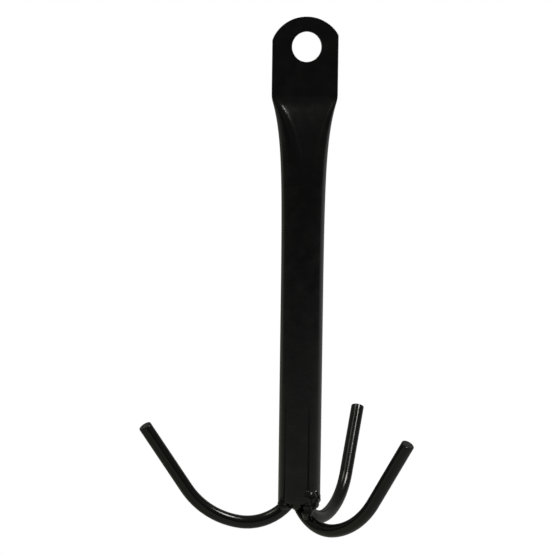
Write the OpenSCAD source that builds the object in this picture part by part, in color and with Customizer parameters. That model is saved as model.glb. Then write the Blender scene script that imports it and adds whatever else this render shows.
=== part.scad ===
// Hanging tack hook: a steel tube with a flattened, punched top end and three
// upturned round-rod prongs welded into its open lower end.
// Frame: the origin is the centre of the hang hole, in the middle of the tab's
// thickness. +Z runs up the tube, Y is the hole's axis, and the tab lies in XZ.
// A three-number setting of the prongs reads [left, front, back].

/* [Stem tube] */
// Outside diameter of the tube
tube_d = 25.4; // [22:0.1:30]
// Wall thickness of the tube
tube_wall = 1.6; // [1:0.1:1.6]
// Height of the hang hole's centre above the tube's open mouth
stem_drop = 272.8; // [220:0.2:360]

/* [Hang tab] */
// Width of the flattened end
tab_w = 39.8; // [38:0.1:46]
// Thickness of the flattened end, two tube walls pressed together
tab_t = 3.4; // [3.4:0.1:5]
// Diameter of the punched hang hole
hole_d = 18; // [8:0.5:22]
// Height of the tab's top above the hole's centre
tab_above = 17.9; // [14:0.1:20]
// Depth of the flat below the hole's centre
tab_below = 30.7; // [20:0.1:45]
// Radius of the sheared top end
shear_r = 22.1; // [21:0.1:30]
// Sideways miss of the punch from the tube's axis
punch_offset = 0.8; // [-1:0.1:1]

/* [Neck] */
// Height over which the flat turns back into the round tube
neck_len = 110; // [80:1:130]
// Height in which the flattening falls to about a third
neck_decay = 21.5; // [15:0.5:25]

/* [Prong rod] */
// Diameter of the prong rod
rod_d = 7.9; // [6:0.1:8.5]
// Bend radius of the part under the tube
inner_bend_r = 32; // [30:0.5:34]
// Bend radius of the part that turns up to the tip
outer_bend_r = 48; // [44:0.5:52]
// Angle past the lowest point where the wider bend starts
wide_bend_from = 9; // [5:1:15]
// Slope of the straight tip above the horizontal
tip_slope = 56; // [50:1:62]
// Length of the straight tip
tip_len = 45.5; // [20:0.5:60]
// Chamfer at the cut ends
end_chamfer = 0.4; // [0.1:0.1:0.8]

/* [Prong layout] */
// Direction of each prong around the tube
prong_azimuth = [180, -55, 55]; // [-180:1:180]
// Distance of each prong's lowest point from the tube's axis
prong_reach = [31, 24.5, 33.5]; // [24:0.5:35]
// Depth of each prong's lowest centre point below the tube's mouth
prong_drop = [12.3, 14.5, 13.5]; // [12.3:0.1:16]
// Tilt of each prong in its own plane, tip up
prong_splay = [0, 0, 2.5]; // [-2:0.5:3]
// Sideways lean of each prong
prong_lean = [0, 4, 6]; // [-2:0.5:7]
// Bend angle from each prong's lowest point to its inner end
prong_tail = [52, 48, 54]; // [40:1:54]

/* [Weld metal] */
// Scale of the weld blobs
weld_scale = 1; // [0.8:0.05:1.1]
// Radius of the weld lump among the prongs' inner ends
root_r = 6; // [5:0.5:7]

/* [Hidden] */
tube_r = tube_d / 2;
rod_r = rod_d / 2;
tab_half = [tab_w / 2, tab_t / 2];
axis_x = -punch_offset;
mouth_z = -stem_drop;
neck_top = -tab_below;
tube_foot = neck_top - mouth_z;
shear_z = tab_above - shear_r;
round_facets = 96;
tube_facets = 64;
neck_rings = 26;
ring_bias = 1.5;
rod_facets = 48;
blob_facets = 32;
joint_skin = 0.05;
LEFT = 0;
FRONT = 1;
BACK = 2;
// Each weld blob is [degrees round the rim from its prong, height above the mouth, radius,
// depth of its centre inside the tube's surface]. The front prong sits low, so its weld climbs
// the tube and also fills the gap below the rim.
WELD_BLOBS = [
    [[26, -2, 2.6, 0.6], [25, 0.8, 2.2, 0.6], [28, 3, 1.5, 0.4], [38, -1.8, 2.2, 1.6],
     [-25, -2, 2.3, 1.5], [-26, 0.7, 1.9, 1.3]],
    [[-20, 7, 1.6, 0.4], [-23, 4.6, 1.9, 0.4], [-8, 3.6, 5.6, 3.4], [12, 6.6, 2, 0.8],
     [30, 4.2, 2.6, 1.9], [25, 2, 2.6, 1.4], [14, 3.4, 3, 0.9], [4, 1.6, 3.2, 0.8],
     [-17, -1.2, 3, 0.8], [-2, -1.2, 3.2, 1], [-11, -3.4, 2.8, 1.4], [-18, -5.4, 3.2, 1.2],
     [-14, -7.4, 3, 2.4]],
    [[-24, -3, 2.8, 0.5], [-28, -0.6, 2.4, 0.5], [-30, 1.8, 1.6, 0.3], [24, -3, 2.6, 0.5],
     [27, -0.8, 2.2, 0.5]],
];

// How much of the tab's flattening is left at a depth below the tab: 1 there, 0 from the neck's foot.
function flattening(depth) =
    let (rest = exp(-neck_len / neck_decay))
    max(0, (exp(-depth / neck_decay) - rest) / (1 - rest));

// Half width and half thickness of the tube's outside at that depth.
function section_half(depth) =
    let (f = flattening(max(depth, 0)))
    [tube_r, tube_r] * (1 - f) + tab_half * f;

// Depths of the rings down the neck, closer together where the shape turns faster.
NECK_DEPTHS = [for (i = [0 : neck_rings]) neck_len * pow(i / neck_rings, ring_bias)];

// A ring of points: two half circles joined by straight sides.
function stadium_ring(half, z) =
    let (r = half.y, run = max(half.x - half.y, 0))
    [for (k = [0 : tube_facets - 1])
        let (a = 360 * (k + 0.5) / tube_facets)
        [axis_x + run * sign(cos(a)) + r * cos(a), r * sin(a), z]];

// A closed solid through rings at the given depths below the tab, shrunk all round by inset.
module tube_loft(depths, inset) {
    last = len(depths) - 1;
    points = [for (depth = depths)
        each stadium_ring(section_half(depth) - [inset, inset], neck_top - depth)];
    sides = [for (i = [0 : last - 1], k = [0 : tube_facets - 1])
        let (next = (k + 1) % tube_facets, here = i * tube_facets, below = here + tube_facets)
        each [
            [here + k, here + next, below + next],
            [here + k, below + next, below + k]
        ]];
    lid = [for (k = [tube_facets - 1 : -1 : 0]) k];
    foot = [for (k = [0 : tube_facets - 1]) last * tube_facets + k];
    polyhedron(points, concat([lid, foot], sides));
}

// What the shear leaves of the flattened end: everything under an arc centred near the hole.
module sheared_outline() {
    translate([0, shear_z]) circle(r = shear_r, $fn = round_facets);
    translate([-tab_w, mouth_z - 1]) square([2 * tab_w, shear_z - mouth_z + 1]);
}

// A length of bent rod in the XZ plane, its angles measured from straight below the bend's centre.
module bent_rod(bend_r, from, to) {
    rotate([90, 0, 0]) rotate([0, 0, from - 90])
        rotate_extrude(angle = to - from, $fn = round_facets)
            translate([bend_r, 0]) circle(r = rod_r, $fn = rod_facets);
}

// The J of one prong. Its lowest centre point is the origin and it rises towards +X.
module j_rod(tail) {
    translate([0, 0, inner_bend_r]) {
        bent_rod(inner_bend_r, -tail, wide_bend_from);
        at_bend_angle(inner_bend_r, wide_bend_from) bend_joint();
    }
    at_wide_bend() {
        bent_rod(outer_bend_r, wide_bend_from, tip_slope);
        at_bend_angle(outer_bend_r, tip_slope) {
            bend_joint();
            rod_tip();
        }
    }
}

// Moves to the centre of the wider bend, which meets the inner one on a common tangent.
module at_wide_bend() {
    step = inner_bend_r - outer_bend_r;
    translate([step * sin(wide_bend_from), 0, inner_bend_r - step * cos(wide_bend_from)]) children();
}

// Moves to a point on a bend, with X along the rod.
module at_bend_angle(bend_r, angle) {
    rotate([0, -angle, 0]) translate([0, 0, -bend_r]) children();
}

// A ball a hair wider than the rod, so that two tangent lengths become one solid.
module bend_joint() {
    rotate([0, 90, 0]) sphere(r = rod_r + joint_skin, $fn = rod_facets);
}

module rod_tip() {
    rotate([0, 90, 0]) {
        cylinder(h = tip_len - end_chamfer, r = rod_r, $fn = rod_facets);
        translate([0, 0, tip_len - end_chamfer])
            cylinder(h = end_chamfer, r1 = rod_r, r2 = rod_r - end_chamfer, $fn = rod_facets);
    }
}

module prong(i) {
    translate([axis_x, 0, mouth_z]) rotate([0, 0, prong_azimuth[i]])
        translate([prong_reach[i], 0, -prong_drop[i]])
            rotate([-prong_lean[i], 0, 0]) rotate([0, -prong_splay[i], 0]) j_rod(prong_tail[i]);
}

module weld_blobs(i) {
    translate([axis_x, 0, mouth_z])
        for (blob = WELD_BLOBS[i])
            rotate([0, 0, prong_azimuth[i] + blob[0]]) translate([tube_r - blob[3], 0, blob[1]])
                sphere(r = blob[2] * weld_scale, $fn = blob_facets);
}

// Weld metal fills only the space that the tube and the rods leave.
module weld_bead(i) {
    difference() {
        weld_blobs(i);
        translate([axis_x, 0, mouth_z]) cylinder(h = stem_drop / 2, r = tube_r, $fn = round_facets);
        for (k = [LEFT, FRONT, BACK]) prong(k);
    }
}

module stem_tube() {
    color("#0b0b0c")
        difference() {
            intersection() {
                tube_loft(concat([-tab_above - tab_below - 1], NECK_DEPTHS, [tube_foot]), 0);
                rotate([90, 0, 0])
                    linear_extrude(2 * tube_d, center = true) sheared_outline();
            }
            tube_loft(concat(NECK_DEPTHS, [tube_foot + 1]), tube_wall);
            rotate([90, 0, 0]) cylinder(h = 2 * tab_t, d = hole_d, center = true, $fn = round_facets);
        }
}

module prong_left() {
    color("#0d0d0d") prong(LEFT);
}

module prong_front() {
    color("#0d0d0d") prong(FRONT);
}

module prong_back() {
    color("#0d0d0d") prong(BACK);
}

module weld_left() {
    color("#161616") weld_bead(LEFT);
}

module weld_front() {
    color("#161616") weld_bead(FRONT);
}

module weld_back() {
    color("#161616") weld_bead(BACK);
}

module weld_root() {
    color("#161616")
        difference() {
            translate([axis_x, 0, mouth_z]) sphere(r = root_r, $fn = blob_facets);
            for (k = [LEFT, FRONT, BACK]) {
                prong(k);
                weld_blobs(k);
            }
        }
}

stem_tube();
prong_left();
prong_front();
prong_back();
weld_left();
weld_front();
weld_back();
weld_root();
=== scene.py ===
"""Looks of a hanging tack hook in gloss black enamel: a crushed tube, three rod prongs and welds.

Everything is in metres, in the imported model's frame: the origin is the centre of the hang hole,
+Z runs up the tube and Y is the hole's axis. The tube's axis is parallel to Z at X = AXIS_X.
"""

import math

import bmesh
import bpy
import numpy as np
from mathutils import Matrix, Vector, noise


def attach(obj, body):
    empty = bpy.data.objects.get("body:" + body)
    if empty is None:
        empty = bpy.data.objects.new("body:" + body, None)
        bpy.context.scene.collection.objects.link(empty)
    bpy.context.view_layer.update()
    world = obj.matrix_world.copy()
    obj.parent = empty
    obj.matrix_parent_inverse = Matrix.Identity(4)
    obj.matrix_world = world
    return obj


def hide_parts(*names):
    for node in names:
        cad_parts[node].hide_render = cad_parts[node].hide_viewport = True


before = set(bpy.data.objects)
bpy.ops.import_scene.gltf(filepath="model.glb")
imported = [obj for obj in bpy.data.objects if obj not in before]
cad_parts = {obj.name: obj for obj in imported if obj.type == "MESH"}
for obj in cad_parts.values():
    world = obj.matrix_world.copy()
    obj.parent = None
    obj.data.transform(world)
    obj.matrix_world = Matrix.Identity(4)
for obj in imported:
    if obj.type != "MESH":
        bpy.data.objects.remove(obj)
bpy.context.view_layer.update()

MM = 0.001

# ---------------------------------------------------------------- sizes, as in part.scad
TUBE_R = 12.7 * MM
TUBE_WALL = 1.6 * MM
AXIS_X = -0.8 * MM
MOUTH_Z = -272.8 * MM

TAB_HALF_W = 19.9 * MM
TAB_HALF_T = 1.7 * MM
TAB_ABOVE = 17.9 * MM
NECK_TOP_Z = -30.7 * MM
SHEAR_R = 22.1 * MM
SHEAR_Z = TAB_ABOVE - SHEAR_R
HOLE_R = 9 * MM
NECK_LEN = 110 * MM
NECK_DECAY = 21.5 * MM

ROD_R = 3.95 * MM
INNER_BEND_R = 32 * MM
OUTER_BEND_R = 48 * MM
WIDE_BEND_FROM = math.radians(9)
TIP_SLOPE = math.radians(56)
TIP_LEN = 45.5 * MM
ROOT_R = 6 * MM

# Each prong, in degrees and millimetres. Its place and bend: direction round the tube, reach and
# drop of its lowest point, tilt in its own plane, sideways lean, and bend back to its inner end.
# Its tip's finish, which part.scad leaves out: how far it is trimmed, how much further it is cut
# back on one side than on the other, and how much its rim is rounded.
PRONGS = {
    "left": dict(azimuth=180, reach=31, drop=12.3, splay=0, lean=0, tail=52,
                 trim=0, slant=1.4, ease=0.8),
    "front": dict(azimuth=-55, reach=24.5, drop=14.5, splay=0, lean=4, tail=48,
                  trim=0.4, slant=0, ease=0.6),
    "back": dict(azimuth=55, reach=33.5, drop=13.5, splay=2.5, lean=6, tail=54,
                 trim=0.2, slant=0, ease=0.35),
}

# Weld blobs by prong: degrees round the rim from the prong, height above the mouth, radius, and
# depth of the centre inside the tube's surface, the lengths in millimetres.
WELD_BLOBS = {
    "left": [(26, -2, 2.6, 0.6), (25, 0.8, 2.2, 0.6), (28, 3, 1.5, 0.4), (38, -1.8, 2.2, 1.6),
             (-25, -2, 2.3, 1.5), (-26, 0.7, 1.9, 1.3)],
    "front": [(-20, 7, 1.6, 0.4), (-23, 4.6, 1.9, 0.4), (-8, 3.6, 5.6, 3.4), (12, 6.6, 2, 0.8),
              (30, 4.2, 2.6, 1.9), (25, 2, 2.6, 1.4), (14, 3.4, 3, 0.9), (4, 1.6, 3.2, 0.8),
              (-17, -1.2, 3, 0.8), (-2, -1.2, 3.2, 1), (-11, -3.4, 2.8, 1.4),
              (-18, -5.4, 3.2, 1.2), (-14, -7.4, 3, 2.4)],
    "back": [(-24, -3, 2.8, 0.5), (-28, -0.6, 2.4, 0.5), (-30, 1.8, 1.6, 0.3),
             (24, -3, 2.6, 0.5), (27, -0.8, 2.2, 0.5)],
}


# ---------------------------------------------------------------- mesh helpers
def new_piece(name, vertices, faces, material):
    """A smooth-shaded mesh object whose normals point outwards."""
    mesh = bpy.data.meshes.new(name)
    mesh.from_pydata([tuple(map(float, v)) for v in vertices], [], faces)
    work = bmesh.new()
    work.from_mesh(mesh)
    bmesh.ops.recalc_face_normals(work, faces=work.faces)
    for face in work.faces:
        face.smooth = True
    work.to_mesh(mesh)
    work.free()
    mesh.materials.append(material)
    piece = bpy.data.objects.new(name, mesh)
    bpy.context.scene.collection.objects.link(piece)
    return piece


def skin_faces(rings, sides):
    """Quads between each closed ring of vertices and the next."""
    return [(j * sides + k, j * sides + (k + 1) % sides,
             (j + 1) * sides + (k + 1) % sides, (j + 1) * sides + k)
            for j in range(rings - 1) for k in range(sides)]


def corner_curve(steps):
    """Shares of a rounded corner: how far back along its first side and along its second."""
    return [((1 - i / steps) ** 2, (i / steps) ** 2) for i in range(steps + 1)]


def smoothstep(share):
    """Eases a share in and out."""
    return share * share * (3 - 2 * share)


# ---------------------------------------------------------------- stem
TAB_RUN = TAB_HALF_W - TAB_HALF_T  # half width of the tab's flat, between its folds
RING = 256                 # points round the tube
END_BIAS = 1.2             # draws those points towards the tab's folds
CREASE = 2.2 * MM          # half height of the press die's rounded edge
CREASE_SAMPLES = 9         # depths averaged over that edge
DISH = 0.042               # how deep the neck's flat is dished, as a share of its half width
RIDGE_POWER = 7            # how sharply the dish rises to its ridges
RIDGE_START = 5 * MM       # depth below the tab at which the ridges are fully formed

BORE_DEPTHS = [3, 7, 12, 18, 26, 36, 50, 70, 95, 125, 165, 205, 232]  # mm below the tab
FIRST_RING = 2 * MM        # height above the mouth of the plain tube's first ring
TUBE_RINGS = 16
NECK_RINGS = 51
NECK_BIAS = 1.35           # draws the neck's rings towards the tab
TAB_ROWS = 62

RIM_EASE = 0.3 * MM        # rounding of the mouth's rims
RIM_STEPS = 3
CUT_EASE = 0.35 * MM       # rounding of the sheared end and of the hole's rims
CUT_STEPS = 4
CUT_FACE = (0.6, 0.3)      # rings on the sheared face, as shares of the tab's half thickness
SLIT_HALF = 0.1 * MM       # half width of the hairline between the two pressed walls
SLIT_LIP = 0.12 * MM       # depth of its lip
SLIT_DEPTH = 1.5 * MM
FOLD_EYE = 0.28 * MM       # half width of the eye that it opens into at each fold
EYE_START = 0.86           # where it starts to open, as a share of TAB_RUN
EYE_SPAN = 0.1             # how far on it is fully open

# The block of the tab's front and back that gives way to rings round the hole
BLOCK_HALF_W = 13.2 * MM
BLOCK_LOW = -13 * MM
BLOCK_HIGH = 13.6 * MM
CLOSING_IN = (0.18, 0.36, 0.53, 0.68, 0.8, 0.89, 0.95, 1)  # those rings, from block to hole


def flattening(depth):
    """How much of the tab's flattening is left at a depth below it, with a soft crease on top."""
    rest = math.exp(-NECK_LEN / NECK_DECAY)
    steps = depth + CREASE * np.linspace(-1, 1, CREASE_SAMPLES)
    return float(np.clip((np.exp(-steps / NECK_DECAY) - rest) / (1 - rest), 0, 1).mean())


def stadium(run, radius):
    """RING points round a stadium: x and y, from its left end by way of the front (-y)."""
    quarter = RING // 4
    bend = math.pi * radius / 2
    along = (np.arange(quarter) / quarter) ** END_BIAS * (run + bend)
    angle = np.minimum(along / radius, math.pi / 2)
    x = -run - radius * np.cos(angle) + np.maximum(along - bend, 0)
    y = -radius * np.sin(angle)
    left = np.stack([x, y], 1)
    right = np.stack([-x[:0:-1], y[:0:-1]], 1)
    half = np.concatenate([left, [[0, -radius]], right])
    return np.concatenate([half, -half])


def level_ring(run, radius, z):
    """A stadium round the tube's axis at one height."""
    points = stadium(run, radius)
    return np.column_stack([points[:, 0] + AXIS_X, points[:, 1], np.full(RING, z)])


def section(depth, inset=0.0):
    """Run and radius of the tube's stadium section at a depth below the tab."""
    f = flattening(depth)
    half_w = TUBE_R * (1 - f) + TAB_HALF_W * f
    half_t = TUBE_R * (1 - f) + TAB_HALF_T * f
    return half_w - half_t, max(half_t - inset, SLIT_HALF)


def neck_ring(depth):
    """The outside at a depth below the tab, its flat front and back dished between two ridges."""
    run, radius = section(depth)
    ring = level_ring(run, radius, NECK_TOP_Z - depth)
    formed = smoothstep(min(max(depth / RIDGE_START, 0), 1))
    across = (ring[:, 0] - AXIS_X) / max(run, 1e-9)
    flat = np.abs(across) < 1
    dish = DISH * formed * run * (1 - np.abs(across[flat]) ** RIDGE_POWER)
    ring[flat, 1] -= np.sign(ring[flat, 1]) * dish
    return ring


def slit_ring():
    """The gap between the pressed walls: a hairline that opens into a small eye at each fold."""
    ring = level_ring(TAB_RUN, SLIT_HALF, 0)
    across = np.abs(ring[:, 0] - AXIS_X) / TAB_RUN
    eye = smoothstep(np.clip((across - EYE_START) / EYE_SPAN, 0, 1)) * (across < 1)
    ring[:, 1] *= 1 + (FOLD_EYE / SLIT_HALF - 1) * eye
    return ring


def shear_height(x):
    """Height of the sheared top end over a point across the tab."""
    return SHEAR_Z + np.sqrt(np.maximum(SHEAR_R ** 2 - x ** 2, 0))


def stem_rings():
    """Rings of the stem's skin: down the bore, round the mouth, up the outside to the slit.

    Also gives the numbers of the first and last ring of the flat tab.
    """
    # the bore, from where it closes in the neck
    rings = [level_ring(TAB_RUN, SLIT_HALF, NECK_TOP_Z)]
    for depth in BORE_DEPTHS:
        run, radius = section(depth * MM, TUBE_WALL)
        rings.append(level_ring(run, radius, NECK_TOP_Z - depth * MM))
    # the mouth's rim
    for back, over in corner_curve(RIM_STEPS):
        rings.append(level_ring(0, TUBE_R - TUBE_WALL + RIM_EASE * over, MOUTH_Z + RIM_EASE * back))
    for back, over in corner_curve(RIM_STEPS):
        rings.append(level_ring(0, TUBE_R - RIM_EASE * back, MOUTH_Z + RIM_EASE * over))
    # the outside of the tube and the neck
    tube = np.linspace(NECK_TOP_Z - MOUTH_Z - FIRST_RING, NECK_LEN, TUBE_RINGS)
    neck = NECK_LEN * np.linspace(1, 0, NECK_RINGS + 1)[1:] ** NECK_BIAS
    rings += [neck_ring(depth) for depth in [*tube, *neck, -CREASE / 2, -CREASE]]
    # the flat tab, whose columns all end at the sheared arc
    tab_start = len(rings) - 1
    edge = level_ring(TAB_RUN, TAB_HALF_T, 0)
    low = NECK_TOP_Z + CREASE
    for row in range(1, TAB_ROWS + 1):
        ring = edge.copy()
        ring[:, 2] = low + (shear_height(edge[:, 0]) - CUT_EASE - low) * row / TAB_ROWS
        rings.append(ring)
    tab_end = len(rings) - 1
    # the sheared end, its edge rounded by the paint, and the hairline in it
    cut = [(level_ring(TAB_RUN, TAB_HALF_T - CUT_EASE * over, 0), CUT_EASE * back)
           for back, over in corner_curve(CUT_STEPS)[1:]]
    cut += [(level_ring(TAB_RUN, TAB_HALF_T * share, 0), 0) for share in CUT_FACE]
    cut += [(slit_ring(), sink) for sink in (SLIT_LIP, SLIT_DEPTH)]
    for ring, sink in cut:
        ring[:, 2] = shear_height(ring[:, 0]) - sink
        rings.append(ring)
    return rings, tab_start, tab_end


def punch_hole(vertices, faces, tab_start, tab_end):
    """Swaps a block of the tab's front and back for rings round the hole, and lines the hole."""
    front = RING // 4
    columns = max(k for k in range(1, front)
                  if abs(vertices[tab_start * RING + front + k][0] - AXIS_X) < BLOCK_HALF_W)
    rows = [j for j in range(tab_start, tab_end + 1)
            if BLOCK_LOW < vertices[j * RING + front][2] < BLOCK_HIGH]
    bottom, top = rows[0], rows[-1]
    left, right = front - columns, front + columns

    # the block's quads, each known by its first side, at the front and mirrored at the back
    blocked = set()
    for j in range(bottom, top):
        for k in range(left, right):
            for corner in (j * RING + k, (j + 1) * RING - k - 1):
                blocked.add((corner, corner + 1))
    faces[:] = [f for f in faces if (f[0], f[1]) not in blocked]

    def block_edge(column):
        """Vertices round the block at the front, or at the back where column mirrors them."""
        walk = [(bottom, k) for k in range(left, right)] + [(j, right) for j in range(bottom, top)]
        walk += [(top, k) for k in range(right, left, -1)]
        walk += [(j, left) for j in range(top, bottom, -1)]
        return [j * RING + column(k) for j, k in walk]

    edges = [block_edge(lambda k: k), block_edge(lambda k: (RING - k) % RING)]
    count = len(edges[0])
    outline = np.array([vertices[i] for i in edges[0]])
    actual = np.unwrap(np.arctan2(outline[:, 2], outline[:, 0]))
    even = actual[0] + 2 * math.pi * np.arange(count) / count
    angles = 0.5 * (actual + even + (actual - even).mean())
    circle = np.column_stack([np.cos(angles), np.zeros(count), np.sin(angles)])

    def bridge(a, b):
        faces.extend((a[i], a[(i + 1) % count], b[(i + 1) % count], b[i]) for i in range(count))

    def next_ring(last, points, y):
        """Adds a ring of points at a depth y, joined to the last one."""
        points[:, 1] = y
        vertices.extend(points)
        here = list(range(len(vertices) - count, len(vertices)))
        bridge(last, here)
        return here

    rims = []
    goal = circle * (HOLE_R + CUT_EASE)
    for ring, y in zip(edges, (-TAB_HALF_T, TAB_HALF_T)):
        for share in CLOSING_IN:
            ring = next_ring(ring, outline * (1 - share) + goal * share, y)
        rims.append(ring)
    profile = [(HOLE_R + CUT_EASE * back, -TAB_HALF_T + CUT_EASE * over)
               for back, over in corner_curve(CUT_STEPS)[1:]]
    profile += [(HOLE_R, -TAB_HALF_T / 2), (HOLE_R, -SLIT_HALF),
                (HOLE_R + SLIT_DEPTH / 2, -SLIT_HALF)]
    profile += [(r, -y) for r, y in reversed(profile)]
    ring = rims[0]
    for r, y in profile:
        ring = next_ring(ring, circle * r, y)
    bridge(ring, rims[1])


def build_stem(material):
    """The tube, neck and tab as one closed skin with the hang hole through it."""
    rings, tab_start, tab_end = stem_rings()
    vertices = [tuple(p) for ring in rings for p in ring]
    faces = skin_faces(len(rings), RING)
    punch_hole(vertices, faces, tab_start, tab_end)
    # the two ends of the skin are flat slits: each closes front to back
    for first in (0, (len(rings) - 1) * RING):
        for k in range(RING // 2):
            quad = [first + k, first + k + 1,
                    first + (RING - k - 1) % RING, first + (RING - k) % RING]
            corners = list(dict.fromkeys(quad))
            if len(corners) > 2:
                faces.append(tuple(corners))
    return new_piece("stem", vertices, faces, material)


# ---------------------------------------------------------------- prongs
ROD_SIDES = 64
INNER_BEND_STEPS = 44
OUTER_BEND_STEPS = 48
TIP_STEPS = 14
TIP_CORNER_STEPS = 5
TIP_FACE = (0.72, 0.45, 0.2)  # rings on the tip's cut face, as shares of its radius
INNER_FACE = 0.5              # the ring on the inner end's, as a share of the rod's
TRIM_REACH = 3 * ROD_R        # length of rod over which the tip's trim and slant set in


def prong_path(tail, ease):
    """Points and directions along a prong in its own XZ plane, from inner end to tip's rim."""
    path = []

    def bend(centre, radius, start, end, steps):
        for angle in np.linspace(start, end, steps + 1):
            s, c = math.sin(angle), math.cos(angle)
            path.append((Vector((centre[0] + radius * s, 0, centre[1] - radius * c)),
                         Vector((c, 0, s))))

    step = INNER_BEND_R - OUTER_BEND_R
    wide_centre = (step * math.sin(WIDE_BEND_FROM), INNER_BEND_R - step * math.cos(WIDE_BEND_FROM))
    bend((0, INNER_BEND_R), INNER_BEND_R, -math.radians(tail), WIDE_BEND_FROM, INNER_BEND_STEPS)
    path.pop()
    bend(wide_centre, OUTER_BEND_R, WIDE_BEND_FROM, TIP_SLOPE, OUTER_BEND_STEPS)
    point, direction = path[-1]
    for share in np.linspace(0, 1, TIP_STEPS + 1)[1:]:
        path.append((point + direction * (TIP_LEN - ease) * share, direction))
    return path


def prong_place(setting):
    """Where a prong's own plane lies, with its lowest centre point at the plane's origin."""
    return (Matrix.Translation((AXIS_X, 0, MOUTH_Z))
            @ Matrix.Rotation(math.radians(setting["azimuth"]), 4, "Z")
            @ Matrix.Translation((setting["reach"] * MM, 0, -setting["drop"] * MM))
            @ Matrix.Rotation(-math.radians(setting["lean"]), 4, "X")
            @ Matrix.Rotation(-math.radians(setting["splay"]), 4, "Y"))


def build_prong(name, setting, material):
    """A bent round rod, its tip finished as its setting says and eased by the paint."""
    ease = setting["ease"] * MM
    path = prong_path(setting["tail"], ease)
    (first, first_dir), (last, last_dir) = path[0], path[-1]
    stations = [(first, first_dir, ROD_R * INNER_FACE)]
    stations += [(point, direction, ROD_R) for point, direction in path]
    for back, over in corner_curve(TIP_CORNER_STEPS)[1:]:
        stations.append((last + last_dir * ease * (1 - back), last_dir, ROD_R - ease * over))
    for share in TIP_FACE:
        stations.append((last + last_dir * ease, last_dir, (ROD_R - ease) * share))
    vertices = []
    across = Vector((0, 1, 0))
    for point, direction, radius in stations:
        up = across.cross(direction)
        near_tip = 1 - min((last - point).length / TRIM_REACH, 1)
        for k in range(ROD_SIDES):
            angle = 2 * math.pi * k / ROD_SIDES
            side = math.sin(angle) * radius
            cut = near_tip * MM * (setting["trim"] + setting["slant"] * side / (2 * ROD_R))
            vertices.append(point + up * math.cos(angle) * radius + across * side - direction * cut)
    faces = skin_faces(len(stations), ROD_SIDES)
    for ring in (0, len(stations) - 1):
        rim = vertices[ring * ROD_SIDES:(ring + 1) * ROD_SIDES]
        vertices.append(sum(rim, Vector()) / ROD_SIDES)
        faces += [(ring * ROD_SIDES + k, ring * ROD_SIDES + (k + 1) % ROD_SIDES, len(vertices) - 1)
                  for k in range(ROD_SIDES)]
    place = prong_place(setting)
    return new_piece(f"prong_{name}_rod", [place @ Vector(v) for v in vertices], faces, material)


# ---------------------------------------------------------------- welds
BLOB_SUBDIVISIONS = 4
WELD_VOXEL = 0.35 * MM
SOFTEN_FACTOR = 0.5
SOFTEN_ROUNDS = 12
BROAD_RIPPLE = (2.2, 0.12)  # length and height of the wrinkles, in mm
FINE_RIPPLE = (0.8, 0.05)
SEED_STEPS = (7.3, 3.1, 5.7)  # how far each seed moves through the ripples' noise
ROOT_SEED = 5
BORE_START = 0.3 * MM       # height above the mouth from which a bead stays out of the bore
WALL_SINK = 0.9 * MM        # how far it may sink into the tube's wall there


def blob_centres(name):
    """Centres and radii of one prong's weld blobs."""
    azimuth = PRONGS[name]["azimuth"]
    for degrees, height, radius, depth in WELD_BLOBS[name]:
        angle = math.radians(azimuth + degrees)
        out = TUBE_R - depth * MM
        centre = (AXIS_X + out * math.cos(angle), out * math.sin(angle), MOUTH_Z + height * MM)
        yield Vector(centre), radius * MM


def build_weld(name, blobs, material, seed):
    """Weld metal: blobs run together, wrinkled by the arc, and kept out of the tube's bore."""
    work = bmesh.new()
    for centre, radius in blobs:
        bmesh.ops.create_icosphere(work, subdivisions=BLOB_SUBDIVISIONS, radius=radius,
                                   matrix=Matrix.Translation(centre))
    mesh = bpy.data.meshes.new(name)
    work.to_mesh(mesh)
    work.free()
    piece = bpy.data.objects.new(name, mesh)
    bpy.context.scene.collection.objects.link(piece)
    remesh = piece.modifiers.new("remesh", "REMESH")
    remesh.mode = "VOXEL"
    remesh.voxel_size = WELD_VOXEL
    soften = piece.modifiers.new("soften", "SMOOTH")
    soften.factor = SOFTEN_FACTOR
    soften.iterations = SOFTEN_ROUNDS
    graph = bpy.context.evaluated_depsgraph_get()
    done = bpy.data.meshes.new_from_object(piece.evaluated_get(graph))
    piece.modifiers.clear()
    piece.data = done
    shift = Vector([seed * step for step in SEED_STEPS])
    normals = [v.normal.copy() for v in done.vertices]
    for vertex, normal in zip(done.vertices, normals):
        ripple = noise.noise(vertex.co / (BROAD_RIPPLE[0] * MM) + shift) * BROAD_RIPPLE[1]
        ripple += noise.noise(vertex.co / (FINE_RIPPLE[0] * MM) - shift) * FINE_RIPPLE[1]
        vertex.co += normal * ripple * MM
        radial = Vector((vertex.co.x - AXIS_X, vertex.co.y))
        if vertex.co.z > MOUTH_Z + BORE_START and radial.length < TUBE_R - WALL_SINK:
            radial *= (TUBE_R - WALL_SINK) / radial.length
            vertex.co.x, vertex.co.y = radial.x + AXIS_X, radial.y
    for polygon in done.polygons:
        polygon.use_smooth = True
    done.materials.append(material)
    return piece


# ---------------------------------------------------------------- enamel
# Each coat of paint: how strong its orange peel is, and the two tints that it wanders between
ENAMELS = {
    "stem": dict(peel=0.45, dark=(0.0022, 0.0022, 0.0024), light=(0.0034, 0.0034, 0.0033)),
    "rod": dict(peel=0.12, dark=(0.0026, 0.0028, 0.0014), light=(0.0040, 0.0042, 0.0026)),
    "weld": dict(peel=0.6, dark=(0.0026, 0.0028, 0.0018), light=(0.0046, 0.0048, 0.0030)),
}
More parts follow.
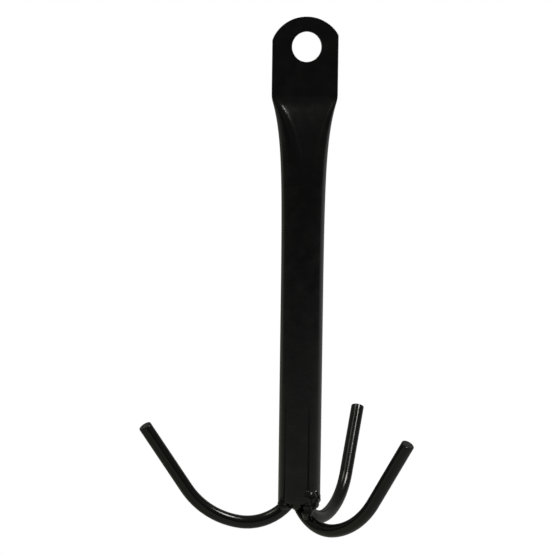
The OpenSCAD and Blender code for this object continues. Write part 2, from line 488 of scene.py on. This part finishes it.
# What they share: scales of noise per metre, where the noise reaches each tint, and how it turns
# into roughness
TINT_SCALE = 90
TINT_STOPS = (0.35, 0.7)
HAZE_SCALE = 140
HAZE_DETAIL = 4.0
HAZE_RANGE = {"From Min": 0.3, "From Max": 0.75, "To Min": 0.12, "To Max": 0.24}
FINE_PEEL_SCALE = 650
FINE_PEEL_HEIGHT = 0.03 * MM
BROAD_PEEL_SCALE = 120
BROAD_PEEL_HEIGHT = 0.07 * MM


def set_inputs(node, values):
    """Sets a node's sockets by name."""
    for name, value in values.items():
        node.inputs[name].default_value = value


def enamel(name, peel, dark, light):
    """Gloss black enamel: nearly black between two tints, with orange peel and slight haze."""
    material = bpy.data.materials.new(name)
    material.use_nodes = True
    nodes, links = material.node_tree.nodes, material.node_tree.links
    shader = nodes["Principled BSDF"]
    set_inputs(shader, {"IOR": 1.5})
    place = nodes.new("ShaderNodeTexCoord").outputs["Object"]

    def noise_at(scale, detail=2.0):
        node = nodes.new("ShaderNodeTexNoise")
        set_inputs(node, {"Scale": scale, "Detail": detail})
        links.new(place, node.inputs["Vector"])
        return node.outputs["Fac"]

    def bump(scale, height):
        node = nodes.new("ShaderNodeBump")
        set_inputs(node, {"Strength": peel, "Distance": height})
        links.new(noise_at(scale), node.inputs["Height"])
        return node

    tint = nodes.new("ShaderNodeValToRGB")
    for element, colour, position in zip(tint.color_ramp.elements, (dark, light), TINT_STOPS):
        element.color = (*colour, 1)
        element.position = position
    links.new(noise_at(TINT_SCALE), tint.inputs["Fac"])
    links.new(tint.outputs["Color"], shader.inputs["Base Color"])

    haze = nodes.new("ShaderNodeMapRange")
    set_inputs(haze, HAZE_RANGE)
    links.new(noise_at(HAZE_SCALE, HAZE_DETAIL), haze.inputs["Value"])
    links.new(haze.outputs["Result"], shader.inputs["Roughness"])

    fine = bump(FINE_PEEL_SCALE, FINE_PEEL_HEIGHT)
    broad = bump(BROAD_PEEL_SCALE, BROAD_PEEL_HEIGHT)
    links.new(fine.outputs["Normal"], broad.inputs["Normal"])
    links.new(broad.outputs["Normal"], shader.inputs["Normal"])
    return material


# ---------------------------------------------------------------- camera
# Fitted to the photograph's view: metres from the tube and above its mouth, then degrees
CAMERA = dict(distance=1.8, height=0.285, turn=-8.5, pan=-0.470, tilt=4.764, roll=0.766)
LENS_MM = 195.85
SENSOR_MM = 36
CLIP_END = 100


def add_camera():
    """A long lens, level with the tab and a little to the left of the hole's axis."""
    turn, pan, tilt, roll = (math.radians(CAMERA[k]) for k in ("turn", "pan", "tilt", "roll"))
    ahead = Vector((-math.sin(turn), math.cos(turn), 0))
    side = Vector((math.cos(turn), math.sin(turn), 0))
    up = Vector((0, 0, 1))
    eye = Vector((AXIS_X, 0, MOUTH_Z + CAMERA["height"])) - ahead * CAMERA["distance"]
    ahead, side = (ahead * math.cos(pan) + side * math.sin(pan),
                   side * math.cos(pan) - ahead * math.sin(pan))
    forward = ahead * math.cos(tilt) - up * math.sin(tilt)
    up = up * math.cos(tilt) + ahead * math.sin(tilt)
    right = side * math.cos(roll) + up * math.sin(roll)
    up = up * math.cos(roll) - side * math.sin(roll)
    data = bpy.data.cameras.new("camera")
    data.lens = LENS_MM
    data.sensor_width = SENSOR_MM
    data.clip_end = CLIP_END
    camera = bpy.data.objects.new("camera", data)
    bpy.context.scene.collection.objects.link(camera)
    turned = Matrix((right, up, -forward)).transposed().to_4x4()
    camera.matrix_world = Matrix.Translation(eye) @ turned
    bpy.context.scene.camera = camera


# ---------------------------------------------------------------- stage
FLOOR_Z = -2.6
FLOOR_HALF = 9
DOME_R = 12


def white_glow(name):
    """A plain white that needs no lamp."""
    material = bpy.data.materials.new(name)
    material.use_nodes = True
    tree = material.node_tree
    tree.nodes.clear()
    emit = tree.nodes.new("ShaderNodeEmission")
    set_inputs(emit, {"Color": (1, 1, 1, 1), "Strength": 1.0})
    out = tree.nodes.new("ShaderNodeOutputMaterial")
    tree.links.new(emit.outputs["Emission"], out.inputs["Surface"])
    return material


def add_stage():
    """A pale floor well below the hook and a white backdrop, neither mirrored in the paint."""
    corners = [(x * FLOOR_HALF, y * FLOOR_HALF, FLOOR_Z)
               for x, y in ((-1, -1), (1, -1), (1, 1), (-1, 1))]
    floor = new_piece("floor", corners, [(0, 1, 2, 3)], white_glow("floor_white"))
    bpy.ops.mesh.primitive_uv_sphere_add(segments=48, ring_count=24, radius=DOME_R)
    dome = bpy.context.object
    dome.name = "backdrop"
    dome.data.materials.append(white_glow("backdrop_white"))
    for obj in (floor, dome):
        obj.visible_glossy = obj.visible_diffuse = False
        obj.visible_shadow = obj.visible_transmission = False


# ---------------------------------------------------------------- light
# Two soft boxes, both turned to LIGHT_TARGET
LIGHT_TARGET = (0, 0, -0.25)
SOFTBOXES = {
    "key": dict(place=(0.43, -0.39, 0.5), size=(0.24, 0.24), radiance=19, colour=(1, 0.98, 0.93)),
    "fill": dict(place=(-0.85, -0.37, 1.5), size=(0.6, 0.52), radiance=3.6, colour=(1, 1, 0.86)),
}

# Brightness of what surrounds the hook, as a share of the white backdrop
ROOM = dict(front=(0.055, 0.055, 0.055), upper=(0.08, 0.08, 0.08), upper_side=(0.14, 0.14, 0.13),
            left_wall=(0.22, 0.225, 0.18), right_wall=(0.33, 0.33, 0.33), back=(0.12, 0.12, 0.11),
            ceiling=(0.2, 0.2, 0.19), table=(0.32, 0.32, 0.31), left_table=(0.26, 0.27, 0.21))

# Where one surface gives way to the next: an axis, and the component along it of the direction
# of view where the change starts and where it ends
ROOM_EDGES = dict(
    upper_left=("X", -0.2, -0.7), upper_right=("X", 0.2, 0.7), front_top=("Z", 0, 0.25),
    left_wall=("Y", 0.55, 0.7), right_wall=("Y", 0.1, 0.38), left_to_right=("X", -0.2, 0.2),
    back=("Y", 0.8, 0.95), ceiling=("Z", 0.2, 1.2), table_low=("Z", -0.25, -0.5),
    table_behind=("Y", -0.05, 0.25), table_left=("X", -0.05, -0.3), table_rim=("Z", -0.1, -0.145))


def add_softbox(name, place, size, radiance, colour):
    """A rectangular light of a given brightness, seen by the paint but not by the camera."""
    data = bpy.data.lights.new(name, "AREA")
    data.shape = "RECTANGLE"
    data.size, data.size_y = size
    data.energy = radiance * math.pi * size[0] * size[1]
    data.color = colour
    light = bpy.data.objects.new(name, data)
    bpy.context.scene.collection.objects.link(light)
    turned = (Vector(LIGHT_TARGET) - Vector(place)).to_track_quat("-Z", "Y").to_matrix().to_4x4()
    light.matrix_world = Matrix.Translation(place) @ turned
    light.visible_camera = False


def add_room():
    """What the paint mirrors: a dim table below, a dark front, and paler walls beside the back."""
    world = bpy.data.worlds.new("room")
    world.use_nodes = True
    nodes, links = world.node_tree.nodes, world.node_tree.links
    way = nodes.new("ShaderNodeSeparateXYZ")
    links.new(nodes.new("ShaderNodeTexCoord").outputs["Generated"], way.inputs["Vector"])

    def blend(edge, low, high):
        """A colour that turns from low to high across one of the room's edges."""
        axis, start, end = ROOM_EDGES[edge]
        share = nodes.new("ShaderNodeMapRange")
        share.interpolation_type = "SMOOTHSTEP"
        set_inputs(share, {"From Min": start, "From Max": end})
        links.new(way.outputs[axis], share.inputs["Value"])
        node = nodes.new("ShaderNodeMix")
        node.data_type = "RGBA"
        links.new(share.outputs["Result"], node.inputs["Factor"])
        for socket, value in ((node.inputs["A"], low), (node.inputs["B"], high)):
            if isinstance(value, tuple):
                socket.default_value = (*value, 1)
            else:
                links.new(value, socket)
        return node.outputs["Result"]

    upper = blend("upper_left", ROOM["upper"], ROOM["upper_side"])
    upper = blend("upper_right", upper, ROOM["upper_side"])
    front = blend("front_top", ROOM["front"], upper)
    left = blend("left_wall", front, ROOM["left_wall"])
    right = blend("right_wall", front, ROOM["right_wall"])
    around = blend("left_to_right", left, right)
    around = blend("back", around, ROOM["back"])
    above = blend("ceiling", around, ROOM["ceiling"])
    low_left = blend("table_low", ROOM["table"], ROOM["left_table"])
    low_left = blend("table_behind", low_left, ROOM["left_table"])
    table = blend("table_left", ROOM["table"], low_left)
    colour = blend("table_rim", above, table)
    links.new(colour, nodes["Background"].inputs["Color"])
    bpy.context.scene.world = world


# ---------------------------------------------------------------- assembly
bpy.context.scene.view_settings.view_transform = "Standard"
add_camera()
add_stage()
add_room()
for name, box in SOFTBOXES.items():
    add_softbox(name, **box)

paint = {name: enamel(f"enamel_{name}", **look) for name, look in ENAMELS.items()}
made = [(build_stem(paint["stem"]), "stem_tube", "stem_paint")]
for seed, (name, setting) in enumerate(PRONGS.items(), 1):
    rod = build_prong(name, setting, paint["rod"])
    made.append((rod, f"prong_{name}", "rod_paint"))
    weld = build_weld(f"weld_{name}_bead", blob_centres(name), paint["weld"], seed)
    made.append((weld, f"weld_{name}", "weld_paint"))
root_blob = (Vector((AXIS_X, 0, MOUTH_Z)), ROOT_R)
root = build_weld("weld_root_lump", [root_blob], paint["weld"], ROOT_SEED)
made.append((root, "weld_root", "weld_paint"))
for piece, node, slot in made:
    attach(piece, "root")
    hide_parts(node)
